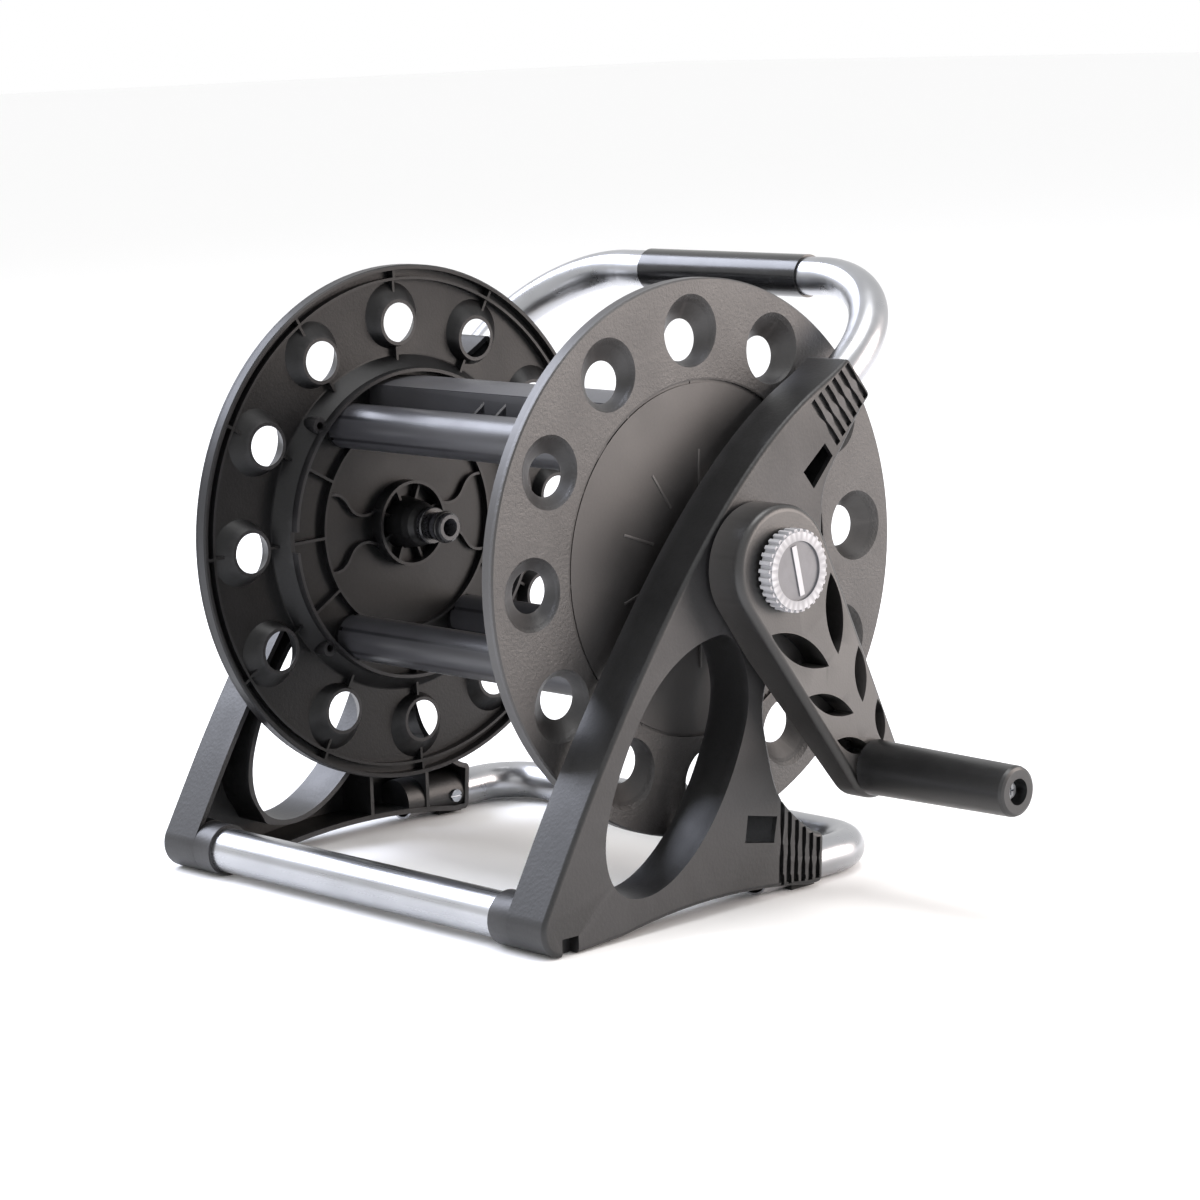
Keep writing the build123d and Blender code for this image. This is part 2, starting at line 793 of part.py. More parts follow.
def along_arm(distance, across=0.0):
    """(y, z) of a point a distance down the arm, and across it towards the rear."""
    angle = radians(arm_angle)
    y = distance * cos(angle) - across * sin(angle)
    z = distance * sin(angle) + across * cos(angle)
    return y, z


def arm_outline(grow=0.0):
    """Two circles joined by their outer tangents."""
    big = head_radius + grow
    small = tail_radius + grow
    reach = (tail_y ** 2 + tail_z ** 2) ** 0.5
    lead = degrees(atan2(tail_z, tail_y))
    swing = degrees(acos((big - small) / reach))
    corners = []
    for turn, y, z, radius in ((swing, 0, 0, big), (swing, tail_y, tail_z, small),
                               (-swing, tail_y, tail_z, small), (-swing, 0, 0, big)):
        a = radians(lead + turn)
        corners.append((y + radius * cos(a), z + radius * sin(a)))
    body = make_face(Polyline(*corners, close=True))
    return Circle(big) + Pos(tail_y, tail_z) * Circle(small) + body


def leaf_cut(tip, foot, width):
    """Leaf outline between two tips, given as (along, across) on the arm."""
    a0, c0 = tip
    a1, c1 = foot
    ma = (a0 + a1) / 2
    mc = (c0 + c1) / 2
    length = ((a1 - a0) ** 2 + (c1 - c0) ** 2) ** 0.5
    na = -(c1 - c0) / length
    nc = (a1 - a0) / length
    half = width / 2
    p0 = along_arm(a0, c0)
    p1 = along_arm(a1, c1)
    side_1 = ThreePointArc(p0, along_arm(ma + na * half, mc + nc * half), p1)
    side_2 = ThreePointArc(p1, along_arm(ma - na * half, mc - nc * half), p0)
    return make_face([side_1, side_2])


# (tip, foot, width): three leaves each side of the arm's middle, smaller towards the grip
leaves = [
    ((20.4, 27.0), (61.0, 9.5), 12.8),
    ((66.1, 24.5), (94.0, 11.7), 9.0),
    ((99.3, 22.0), (121.5, 13.4), 7.6),
    ((23.5, -26.5), (62.4, 0.4), 14.5),
    ((67.5, -20.5), (95.0, 2.9), 10.5),
    ((99.9, -15.0), (121.5, 4.4), 8.6),
]


def leaning_block(x, lean, towards):
    """Big block with one face square to the arm, leaned about the reel's axis; towards is +1 or -1."""
    align = Align.MIN if towards > 0 else Align.MAX
    slant = Box(60, 500, 500, align=(align, Align.CENTER, Align.CENTER))
    down = Vector(0, *along_arm(1))
    turn_axis = Axis((0, 0, 0), Vector(1, 0, 0).cross(down))
    return Pos(x, 0, 0) * slant.rotate(turn_axis, -lean)


def face_cutter(depth_below):
    """Everything outside the arm's leaning face."""
    return leaning_block(crank_face - depth_below, crank_slope, 1)


def back_cutter(depth_above):
    """Everything behind the thinned part of the arm's back."""
    start = crank_back - back_flat * tan(radians(back_slope))
    return leaning_block(start + depth_above, back_slope, -1)


def crank_arm():
    hollow_depth = 6.0
    body = slab(arm_outline(), crank_back, crank_face + 20) - face_cutter(0)
    front_edges = [e for e in body.edges() if e.center().X > crank_face - 2 and e.length > 5]
    body = fillet(front_edges, crank_round) - back_cutter(0)
    for tip, foot, width in leaves:
        leaf = slab(leaf_cut(tip, foot, width), crank_back + hollow_depth, crank_face + 20)
        body = body - (leaf & face_cutter(leaf_depth))
    # hollow back with the hub, the grip's boss and a spine left standing
    inner = arm_outline(-3.0)
    inner -= Circle(18.0)
    inner -= Pos(crank_y, crank_z) * Circle(12.0)
    inner -= make_face(Polyline(
        along_arm(10, 1.5), along_arm(120, 1.5), along_arm(120, -1.5), along_arm(10, -1.5), close=True,
    ))
    body = body - slab(inner, crank_back - 1, crank_back + hollow_depth)
    body = body - (slab(inner, crank_back - 1, crank_face - 6) & back_cutter(hollow_depth))
    body = body + rod(axle_end + 0.2, crank_back + 1, 17.0)
    body = body + rod(crank_face - 4, knob_seat - axial_gap, 16.0)
    socket = square_side / 2 + 0.1
    body = body - about_axis(block(crank_back - 5, square_end + 0.6, -socket, socket, -socket, socket), arm_angle)
    body = body - rod(crank_back, crank_face + 2, 4.3)
    # seats for the grip's spindle and its head
    body = body - rod(crank_back - 1, grip_base + 1, grip_pin_radius + seat_gap, crank_y, crank_z)
    return body - rod(crank_back - 1, spindle_seat, grip_pin_radius + spindle_head + 0.3, crank_y, crank_z)


def crank_knob():
    start = knob_seat
    root = knob_radius - 1.5
    body = rod(start, knob_end, root)
    tooth_face = make_face(Polyline((root - 1, -1.5), (knob_radius, -0.9), (knob_radius, 0.9), (root - 1, 1.5), close=True))
    tooth = slab(tooth_face, start, knob_end - 0.6)
    body = body + [about_axis(tooth, i * 360 / knob_teeth) for i in range(knob_teeth)]
    body = body - rod(knob_end - 1.2, knob_end + 1, 15.8)
    coin_bar = block(knob_end - 2.2, knob_end - 0.4, -1.7, 1.7, -13.5, 13.5)
    body = body + about_axis(coin_bar, 12)
    head = extrude(Plane.YZ.offset(start - 1) * RegularPolygon(6.55, 6, major_radius=False), 1 + 5.5)
    return body - head


def knob_screw():
    start = knob_seat
    head = extrude(Plane.YZ.offset(start) * RegularPolygon(6.5, 6, major_radius=False), 5.3)
    return head + rod(square_end - 18, start, 4.0)


def crank_grip():
    profile = [
        (grip_base, 0),
        (grip_base, grip_radius_base - 1),
        (grip_base + 1, grip_radius_base),
        (grip_base + 8, grip_radius_base - 0.4),
        (grip_end - 2.5, grip_radius_end),
        (grip_end - 0.8, grip_radius_end - 0.7),
        (grip_end, grip_radius_end - 2.2),
        (grip_end, 0),
    ]
    body = Pos(0, crank_y, crank_z) * turned(profile)
    body -= rod(grip_base - 1, grip_end + 1, grip_pin_radius + running_gap, crank_y, crank_z)
    body -= rod(grip_end - grip_recess_depth, grip_end + 1, grip_recess_radius, crank_y, crank_z)
    return body


def grip_spindle():
    end = grip_end - grip_recess_depth + axial_gap
    body = rod(spindle_seat - 1, end, grip_pin_radius, crank_y, crank_z)
    body += rod(spindle_seat - spindle_head, spindle_seat, grip_pin_radius + spindle_head, crank_y, crank_z)
    return body - rod(end - 16, end + 1, 2.05, crank_y, crank_z)


def grip_screw():
    face = grip_end - grip_recess_depth + axial_gap + 1.0
    body = rod(face, face + 2.6, 4.2, crank_y, crank_z) + rod(face - 13, face + 0.1, 2.0, crank_y, crank_z)
    cross = block(face + 1.2, face + 3, crank_y - 2.4, crank_y + 2.4, crank_z - 0.45, crank_z + 0.45)
    cross += block(face + 1.2, face + 3, crank_y - 0.45, crank_y + 0.45, crank_z - 2.4, crank_z + 2.4)
    return body - cross


def grip_washer():
    start = grip_end - grip_recess_depth + axial_gap
    return pipe(start, start + 1.0, grip_recess_radius - 0.5, 2.1, crank_y, crank_z)


# ---------------------------------------------------------------- water inlet
# Left side, so every x here is negative: it runs outwards from the hub.

def inlet_elbow():
    shoulder_x = stub_end + axial_gap
    spindle_tip = depth(dome_centre - 7) + 0.5
    body = turned([
        (-spindle_tip, 0),
        (-spindle_tip, spindle_radius - 0.8),
        (-spindle_tip - 1, spindle_radius),
        (-shoulder_x, spindle_radius),
        (-shoulder_x, axle_radius - 0.6),
        (-shoulder_x - elbow_shoulder, axle_radius - 0.6),
        (-shoulder_x - elbow_shoulder, spindle_radius + 0.5),
        (-elbow_axis, spindle_radius + 0.5),
        (-elbow_axis, 0),
    ])
    body += Pos(-elbow_axis, 0, 0) * Sphere(elbow_radius)
    drop = [
        (0, 0), (elbow_radius - 1, 0), (elbow_radius - 1, -18), (elbow_cuff_radius, -18), (elbow_cuff_radius, -22),
        (nipple_radius, -22), (nipple_radius, -25), (6.6, -25), (6.6, -27.8), (nipple_radius + 0.6, -27.8),
        (nipple_radius + 0.6, -31), (nipple_radius - 0.9, -31), (nipple_radius - 0.9, -33.4),
        (nipple_radius + 0.6, -33.4), (nipple_radius + 0.6, -35.4), (nipple_radius - 0.2, -36.2), (0, -36.2),
    ]
    leg = revolve(Plane.XZ * make_face(Polyline(*drop, close=True)), axis=Axis.Z)
    body += Pos(-elbow_axis, 0, 0) * leg
    body -= rod(-elbow_axis, -depth(0) + 40, water_bore)
    body -= Pos(-elbow_axis, 0, 0) * Cylinder(water_bore, 60, align=(Align.CENTER, Align.CENTER, Align.MAX))
    body -= Pos(-elbow_axis, 0, 0) * Sphere(water_bore)
    for x in seal_places():
        body -= pipe(x - 1.35, x + 1.35, spindle_radius + 1, spindle_radius - 2.3)
    return body


def seal_places():
    return (-(frame_in - 3), -(frame_in + 6))


def inlet_seals():
    minor = seal_minor
    ring = Rot(Y=90) * Torus(spindle_radius - minor, minor)
    return group([Pos(x, 0, 0) * ring for x in seal_places()])


def nipple_seal():
    minor = seal_minor
    return Pos(-elbow_axis, 0, -32.2) * Torus(nipple_radius - 0.9 + minor, minor)


def union_nut():
    """Nut on the reel's left stub that keeps the elbow in while it turns."""
    start = frame_out + 1.5
    body = rod(-nut_end, -start, collar_nut_radius - 1.2)
    grip_face = make_face(Polyline((collar_nut_radius - 2.5, -1.6), (collar_nut_radius, -1.1),
                                   (collar_nut_radius, 1.1), (collar_nut_radius - 2.5, 1.6), close=True))
    rib = slab(grip_face, -nut_end + 0.8, -start - 0.8)
    body = body + [about_axis(rib, 30 * i) for i in range(12)]
    body -= rod(-nut_end + nut_lip, -start + 1, axle_radius + seat_gap)
    return body - rod(-nut_end - 1, -start, spindle_radius + 0.5 + axial_gap)


# ---------------------------------------------------------------- build

def main():
    os.makedirs("parts", exist_ok=True)
    frame = right_frame()
    write("right_frame", frame)
    write("left_frame", mirror(frame, Plane.YZ))
    write("handle_tube", handle_tube())
    write("handle_sleeve", handle_sleeve())
    write("front_tube", front_tube())
    write("rear_tube", rear_tube())
    write("lock_screws", lock_screws())
    write("foot_pads", foot_pads())
    bush = right_bush()
    write("right_bush", bush)
    write("left_bush", mirror(bush, Plane.YZ))
    write("right_flange", right_flange())
    write("left_flange", left_flange())
    names = ("upper_rear", "upper_front", "lower_rear", "lower_front")
    for name, (y, z) in zip(names, post_places()):
        write(f"core_post_{name}", core_post(y, z))
    write("core_screws", group([core_screw(y, z) for y, z in post_places()]))
    write("core_bridge", core_bridge())
    write("outlet_nipple", outlet_nipple())
    write("outlet_seal", outlet_seal())
    write("crank_arm", crank_arm())
    write("crank_knob", crank_knob())
    write("knob_screw", knob_screw())
    write("crank_grip", crank_grip())
    write("grip_spindle", grip_spindle())
    write("grip_screw", grip_screw())
    write("grip_washer", grip_washer())
    write("inlet_elbow", inlet_elbow())
    write("inlet_seals", inlet_seals())
    write("nipple_seal", nipple_seal())
    write("union_nut", union_nut())


main()
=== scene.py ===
import json
from math import cos, radians, sin

import bpy
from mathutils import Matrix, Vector

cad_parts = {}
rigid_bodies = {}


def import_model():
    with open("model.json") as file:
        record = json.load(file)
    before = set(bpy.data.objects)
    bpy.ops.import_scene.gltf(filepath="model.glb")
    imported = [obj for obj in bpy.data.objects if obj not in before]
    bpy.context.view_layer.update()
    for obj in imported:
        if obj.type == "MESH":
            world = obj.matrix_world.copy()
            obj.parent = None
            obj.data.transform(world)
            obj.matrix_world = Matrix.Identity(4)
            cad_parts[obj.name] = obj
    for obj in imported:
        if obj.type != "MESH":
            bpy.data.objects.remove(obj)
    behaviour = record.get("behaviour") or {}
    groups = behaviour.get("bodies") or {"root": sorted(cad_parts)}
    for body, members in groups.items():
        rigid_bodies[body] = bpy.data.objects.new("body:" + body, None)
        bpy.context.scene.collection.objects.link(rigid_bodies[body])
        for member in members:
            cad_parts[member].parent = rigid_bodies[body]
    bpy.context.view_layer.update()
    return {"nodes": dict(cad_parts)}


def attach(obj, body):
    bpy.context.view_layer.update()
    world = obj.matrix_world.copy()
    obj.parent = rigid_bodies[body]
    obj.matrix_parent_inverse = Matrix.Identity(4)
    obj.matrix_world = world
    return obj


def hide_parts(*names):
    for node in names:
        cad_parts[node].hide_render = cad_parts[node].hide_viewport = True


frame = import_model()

# Garden hose reel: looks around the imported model.  Metres, +X along the reel's axis to the crank.
nodes = frame["nodes"]
print("frame loaded:", len(nodes), "nodes")

# the reel's middle, its half width to a disc's outer face and the smooth disc in each face
reel = {
    "centre": (-0.0475, -0.0018, 0.1840), "halfWidth": 0.1235, "discRadius": 0.096,
    "sandStrength": 0.9, "sandDepth": 0.00035,
}


camera = {
    "place": (1.4047, -1.3321, 0.4771),
    "turn": (80.521, 1.876, 46.317),
    "lens": 106.72,
    "sensor": 36,
}

cameraData = bpy.data.cameras.new("camera")
cameraData.lens = camera["lens"]
cameraData.sensor_width = camera["sensor"]
cameraObject = bpy.data.objects.new("camera", cameraData)
cameraObject.location = camera["place"]
cameraObject.rotation_euler = [radians(a) for a in camera["turn"]]
bpy.context.scene.collection.objects.link(cameraObject)
bpy.context.scene.camera = cameraObject
print("camera set")


def hexColour(text):
    # sRGB hex to linear
    values = []
    for i in (0, 2, 4):
        c = int(text[i:i + 2], 16) / 255
        values.append(c / 12.92 if c <= 0.04045 else ((c + 0.055) / 1.055) ** 2.4)
    return (*values, 1.0)


def addNode(tree, kind, links=None, **settings):
    # one node with its settings; links maps an input's name or number to another node's socket
    node = tree.nodes.new(kind)
    for key, value in settings.items():
        if key == "inputs":
            for name, number in value.items():
                node.inputs[name].default_value = number
        else:
            setattr(node, key, value)
    for name, socket in (links or {}).items():
        tree.links.new(socket, node.inputs[name])
    return node


def newMaterial(name):
    material = bpy.data.materials.new(name)
    material.use_nodes = True
    tree = material.node_tree
    tree.nodes.clear()
    output = addNode(tree, "ShaderNodeOutputMaterial")
    shader = addNode(tree, "ShaderNodeBsdfPrincipled")
    tree.links.new(shader.outputs["BSDF"], output.inputs["Surface"])
    return material, tree, shader


def setRamp(ramp, stops):
    elements = ramp.color_ramp.elements
    while len(elements) > len(stops):
        elements.remove(elements[-1])
    while len(elements) < len(stops):
        elements.new(1.0)
    for element, (place, colour) in zip(elements, stops):
        element.position = place
        element.color = colour


def sandRing(tree, place, grain, bump):
    # sand texture outside the middle disc, on the discs' outer sides only
    centred = addNode(tree, "ShaderNodeVectorMath", {0: place},
                      operation="SUBTRACT", inputs={1: reel["centre"]})
    parts = addNode(tree, "ShaderNodeSeparateXYZ", {0: centred.outputs["Vector"]})
    flat = addNode(tree, "ShaderNodeCombineXYZ", {"Y": parts.outputs["Y"], "Z": parts.outputs["Z"]})
    radius = addNode(tree, "ShaderNodeVectorMath", {0: flat.outputs["Vector"]}, operation="LENGTH")
    outside = addNode(tree, "ShaderNodeMapRange", {"Value": radius.outputs["Value"]},
                      inputs={"From Min": reel["discRadius"], "From Max": reel["discRadius"] + 0.001})
    along = addNode(tree, "ShaderNodeMath", {0: parts.outputs["X"]}, operation="ABSOLUTE")
    outer = addNode(tree, "ShaderNodeMapRange", {"Value": along.outputs["Value"]},
                    inputs={"From Min": reel["halfWidth"] - 0.0030, "From Max": reel["halfWidth"] - 0.0015})
    both = addNode(tree, "ShaderNodeMath", {0: outside.outputs["Result"], 1: outer.outputs["Result"]},
                   operation="MULTIPLY")
    sand = addNode(tree, "ShaderNodeMath", {0: grain, 1: both.outputs["Value"]}, operation="MULTIPLY")
    coarse = addNode(tree, "ShaderNodeBump", {"Height": sand.outputs["Value"]},
                     inputs={"Strength": reel["sandStrength"], "Distance": reel["sandDepth"]})
    tree.links.new(coarse.outputs["Normal"], bump.inputs["Normal"])


def mouldedPlastic(name, look):
    # moulded plastic: spark-eroded grain in the gloss, flow mottling and a painted highlight that makes the
    # sharpest edges paler
    material, tree, shader = newMaterial(name)
    place = addNode(tree, "ShaderNodeTexCoord").outputs["Object"]
    grain = addNode(tree, "ShaderNodeTexNoise", {"Vector": place},
                    inputs={"Scale": 1000 / look["grainMm"], "Detail": 3.0, "Roughness": 0.6})
    pores = addNode(tree, "ShaderNodeTexVoronoi", {"Vector": place},
                    inputs={"Scale": 1000 / (look["grainMm"] * 1.6)})
    mottle = addNode(tree, "ShaderNodeTexNoise", {"Vector": place},
                     inputs={"Scale": 1000 / look["mottleMm"], "Detail": 4.0, "Roughness": 0.55})
    tint = addNode(tree, "ShaderNodeValToRGB", {"Fac": mottle.outputs["Fac"]})
    setRamp(tint, [(0.3, hexColour(look["dark"])), (0.7, hexColour(look["light"]))])
    speck = addNode(tree, "ShaderNodeValToRGB", {"Fac": grain.outputs["Fac"]})
    low = 1.0 - look["speckle"]
    high = 1.0 + look["speckle"]
    setRamp(speck, [(0.32, (low, low, low, 1)), (0.68, (high, high, high, 1))])
    body = addNode(tree, "ShaderNodeMixRGB", {"Color1": tint.outputs["Color"], "Color2": speck.outputs["Color"]},
                   blend_type="MULTIPLY", inputs={"Fac": 1.0})
    # painted highlight: the sharpest convex edges go paler, standing in for the light they catch
    shape = addNode(tree, "ShaderNodeNewGeometry")
    edge = addNode(tree, "ShaderNodeValToRGB", {"Fac": shape.outputs["Pointiness"]})
    setRamp(edge, [(0.52, (0, 0, 0, 1)), (0.60, (look["edgeHighlightMix"],) * 3 + (1,))])
    edgeHighlight = addNode(tree, "ShaderNodeMixRGB", {"Fac": edge.outputs["Color"], "Color1": body.outputs["Color"]},
                   inputs={"Color2": hexColour(look["edgeHighlight"])})
    tree.links.new(edgeHighlight.outputs["Color"], shader.inputs["Base Color"])
    # gloss varies with the grain and with handling
    rough = addNode(tree, "ShaderNodeMapRange", {"Value": mottle.outputs["Fac"]},
                    inputs={"From Min": 0.3, "From Max": 0.7,
                            "To Min": look["rough"] - 0.05, "To Max": look["rough"] + 0.05})
    tree.links.new(rough.outputs["Result"], shader.inputs["Roughness"])
    both = addNode(tree, "ShaderNodeMath", {0: grain.outputs["Fac"], 1: pores.outputs["Distance"]},
                   operation="ADD")
    bump = addNode(tree, "ShaderNodeBump", {"Height": both.outputs["Value"]},
                   inputs={"Strength": look["bump"], "Distance": look["bumpMm"] / 1000})
    tree.links.new(bump.outputs["Normal"], shader.inputs["Normal"])
    if look.get("ring"):
        sandRing(tree, place, grain.outputs["Fac"], bump)
    shader.inputs["IOR"].default_value = look["ior"]
    shader.inputs["Specular IOR Level"].default_value = look["specular"]
    return material


def drawnMetal(name, look):
    # metal with fine lines along one axis, from drawing or turning
    material, tree, shader = newMaterial(name)
    place = addNode(tree, "ShaderNodeTexCoord").outputs["Object"]
    stretch = addNode(tree, "ShaderNodeMapping", {"Vector": place}, inputs={"Scale": look["stretch"]})
    lines = addNode(tree, "ShaderNodeTexNoise", {"Vector": stretch.outputs["Vector"]},
                    inputs={"Scale": 1000 / look["lineMm"], "Detail": 3.0, "Roughness": 0.55})
    cloud = addNode(tree, "ShaderNodeTexNoise", {"Vector": place},
                    inputs={"Scale": 1000 / look["cloudMm"], "Detail": 3.0})
    tint = addNode(tree, "ShaderNodeValToRGB", {"Fac": cloud.outputs["Fac"]})
    setRamp(tint, [(0.3, hexColour(look["dark"])), (0.7, hexColour(look["light"]))])
    tree.links.new(tint.outputs["Color"], shader.inputs["Base Color"])
    rough = addNode(tree, "ShaderNodeMapRange", {"Value": lines.outputs["Fac"]},
                    inputs={"From Min": 0.3, "From Max": 0.7,
                            "To Min": look["rough"] - look["spread"], "To Max": look["rough"] + look["spread"]})
    tree.links.new(rough.outputs["Result"], shader.inputs["Roughness"])
    lineDepth = 0.00005
    bump = addNode(tree, "ShaderNodeBump", {"Height": lines.outputs["Fac"]},
                   inputs={"Strength": look["bump"], "Distance": lineDepth})
    tree.links.new(bump.outputs["Normal"], shader.inputs["Normal"])
    shader.inputs["Metallic"].default_value = 1.0
    return material


plastics = {
    # polypropylene frames off a fine spark-eroded tool: black with a soft grey sheen
    "frameSparkErodedPolypropylene": {
        "dark": "121213", "light": "181819", "edgeHighlight": "454446", "edgeHighlightMix": 0.45, "speckle": 0.16, "rough": 0.45,
        "grainMm": 1.3, "mottleMm": 26, "bump": 0.34, "bumpMm": 0.12, "ior": 1.49, "specular": 0.55},
    # the discs: a sandy ring that breaks the light into specks, round a smoother middle
    "discSandTexturedPolypropylene": {
        "dark": "191717", "light": "211f1f", "edgeHighlight": "504d4c", "edgeHighlightMix": 0.45, "speckle": 0.16, "rough": 0.50,
        "grainMm": 1.6, "mottleMm": 34, "bump": 0.18, "bumpMm": 0.10, "ior": 1.49, "specular": 0.85, "ring": True},
    # the left disc: the same texture, with painted shade: a blacker copy with less sheen, so its inside stays dark
    # as if shaded by the right disc
    "leftDiscShadedCopyPolypropylene": {
        "dark": "0f0f10", "light": "161617", "edgeHighlight": "444345", "edgeHighlightMix": 0.45, "speckle": 0.16, "rough": 0.42,
        "grainMm": 1.6, "mottleMm": 34, "bump": 0.18, "bumpMm": 0.10, "ior": 1.49, "specular": 0.30, "ring": True},
    # core posts: smooth tubes that show the light as one long soft band
    "corePostPolypropylene": {
        "dark": "1b1b1e", "light": "232327", "edgeHighlight": "545458", "edgeHighlightMix": 0.35, "speckle": 0.05, "rough": 0.36,
        "grainMm": 0.9, "mottleMm": 30, "bump": 0.14, "bumpMm": 0.05, "ior": 1.49, "specular": 0.6},
    # bridge plate: the same plastic with a duller finish
    "bridgeFilledPolypropylene": {
        "dark": "27272a", "light": "303034", "edgeHighlight": "606064", "edgeHighlightMix": 0.35, "speckle": 0.06, "rough": 0.46,
        "grainMm": 0.9, "mottleMm": 24, "bump": 0.16, "bumpMm": 0.06, "ior": 1.49, "specular": 0.6},
    # crank arm: finer, closer grain than the frames and a little glossier, with a painted highlight along its
    # edges
    "crankFineGrainPolypropylene": {
        "dark": "131212", "light": "191818", "edgeHighlight": "565453", "edgeHighlightMix": 0.5, "speckle": 0.10, "rough": 0.40,
        "grainMm": 0.9, "mottleMm": 18, "bump": 0.30, "bumpMm": 0.08, "ior": 1.49, "specular": 0.75},
    # clamp knob: light grey ABS, the smoothest moulding on the reel, with a strong painted highlight on its tooth
    # edges
    "knobAbs": {
        "dark": "5f5f63", "light": "6b6b6f", "edgeHighlight": "c4c4c8", "edgeHighlightMix": 0.75, "speckle": 0.03, "rough": 0.36,
        "grainMm": 0.8, "mottleMm": 9, "bump": 0.10, "bumpMm": 0.04, "ior": 1.54, "specular": 0.5},
    # turning grip: black semi-gloss polypropylene polished by hands
    "gripPolishedPolypropylene": {
        "dark": "101011", "light": "161617", "edgeHighlight": "404042", "edgeHighlightMix": 0.4, "speckle": 0.08, "rough": 0.36,
        "grainMm": 1.0, "mottleMm": 20, "bump": 0.20, "bumpMm": 0.07, "ior": 1.49, "specular": 0.6},
    # handle sleeve: soft PVC, near black, glossy
    "sleevePvc": {
        "dark": "0a0a0b", "light": "111112", "edgeHighlight": "29292b", "edgeHighlightMix": 0.2, "speckle": 0.05, "rough": 0.24,
        "grainMm": 1.0, "mottleMm": 22, "bump": 0.08, "bumpMm": 0.05, "ior": 1.53, "specular": 0.5},
    # water fittings: black acetal, waxy
    "fittingAcetal": {
        "dark": "151517", "light": "1d1d20", "edgeHighlight": "55555a", "edgeHighlightMix": 0.5, "speckle": 0.05, "rough": 0.28,
        "grainMm": 0.8, "mottleMm": 12, "bump": 0.10, "bumpMm": 0.04, "ior": 1.48, "specular": 0.7},
    # bushes: natural acetal, milky
    "bushAcetal": {
        "dark": "c9c7bd", "light": "d8d6cd", "edgeHighlight": "e8e7e0", "edgeHighlightMix": 0.2, "speckle": 0.02, "rough": 0.36,
        "grainMm": 0.9, "mottleMm": 12, "bump": 0.06, "bumpMm": 0.03, "ior": 1.48, "specular": 0.5},
    # foot pads: moulded rubber, chalky
    "padRubber": {
        "dark": "101010", "light": "191919", "edgeHighlight": "303030", "edgeHighlightMix": 0.3, "speckle": 0.12, "rough": 0.80,
        "grainMm": 1.0, "mottleMm": 8, "bump": 0.4, "bumpMm": 0.12, "ior": 1.52, "specular": 0.4},
    # seal rings: nitrile rubber with a film of grease
    "sealNitrile": {
        "dark": "0e0e0f", "light": "151516", "edgeHighlight": "222223", "edgeHighlightMix": 0.1, "speckle": 0.04, "rough": 0.34,
        "grainMm": 0.7, "mottleMm": 5, "bump": 0.08, "bumpMm": 0.03, "ior": 1.52, "specular": 0.5},
}

metals = {
    # drawn tube, satin anodised: bright, with long soft highlights broken by faint draw lines
    "tubeSatinAnodisedAluminium": {
        "dark": "a2a3a6", "light": "b2b3b6", "stretch": (0.02, 1, 1), "lineMm": 1.1, "cloudMm": 60,
        "rough": 0.30, "spread": 0.05, "bump": 0.05},
    # the bent tubes are drawn the same way and polished after bending, so only a faint cloud is left
    "bentTubeSatinAnodisedAluminium": {
        "dark": "a2a3a6", "light": "b2b3b6", "stretch": (0.3, 0.3, 0.3), "lineMm": 3.0, "cloudMm": 60,
        "rough": 0.30, "spread": 0.04, "bump": 0.015},
    # screws and spindle: zinc plated steel, slightly blue, cloudy
    "screwZincPlatedSteel": {
        "dark": "93979c", "light": "aeb2b7", "stretch": (1, 1, 1), "lineMm": 0.7, "cloudMm": 4,
        "rough": 0.34, "spread": 0.08, "bump": 0.08},
}

finishes = {name: mouldedPlastic(name, look) for name, look in plastics.items()}
finishes.update({name: drawnMetal(name, look) for name, look in metals.items()})

nodeFinish = {
    "right_frame": "frameSparkErodedPolypropylene",
    "left_frame": "frameSparkErodedPolypropylene",
    "handle_tube": "bentTubeSatinAnodisedAluminium",
    "rear_tube": "bentTubeSatinAnodisedAluminium",
    "front_tube": "tubeSatinAnodisedAluminium",
    "handle_sleeve": "sleevePvc",
    "lock_screws": "screwZincPlatedSteel",
    "foot_pads": "padRubber",
    "right_bush": "bushAcetal",
    "left_bush": "bushAcetal",
    "right_flange": "discSandTexturedPolypropylene",
    # the left disc takes the darker copy: painted shade for its inside
    "left_flange": "leftDiscShadedCopyPolypropylene",
    "core_post_upper_rear": "corePostPolypropylene",
    "core_post_upper_front": "corePostPolypropylene",
    "core_post_lower_rear": "corePostPolypropylene",
    "core_post_lower_front": "corePostPolypropylene",
    "core_screws": "screwZincPlatedSteel",
    "core_bridge": "bridgeFilledPolypropylene",
    "outlet_nipple": "fittingAcetal",
    "outlet_seal": "sealNitrile",
    "crank_arm": "crankFineGrainPolypropylene",
    "crank_knob": "knobAbs",
    "knob_screw": "screwZincPlatedSteel",
    "crank_grip": "gripPolishedPolypropylene",
    "grip_spindle": "screwZincPlatedSteel",
    "grip_screw": "screwZincPlatedSteel",
    "grip_washer": "screwZincPlatedSteel",
    "inlet_elbow": "fittingAcetal",
    "inlet_seals": "sealNitrile",
    "nipple_seal": "sealNitrile",
    "union_nut": "fittingAcetal",
}
for node, finish in nodeFinish.items():
    mesh = nodes[node].data
    mesh.materials.clear()
    mesh.materials.append(finishes[finish])
print("materials on", len(nodeFinish), "nodes")


reelMiddle = Vector((-47.4874, -1.79781, 184.0))  # millimetres, in the row frame


def at(x, y, z):
    # millimetres from the middle of the reel's axis to metres in the row frame
    return (Vector((x, y, z)) + reelMiddle) / 1000


def selectNothing():
    bpy.ops.object.select_all(action="DESELECT")


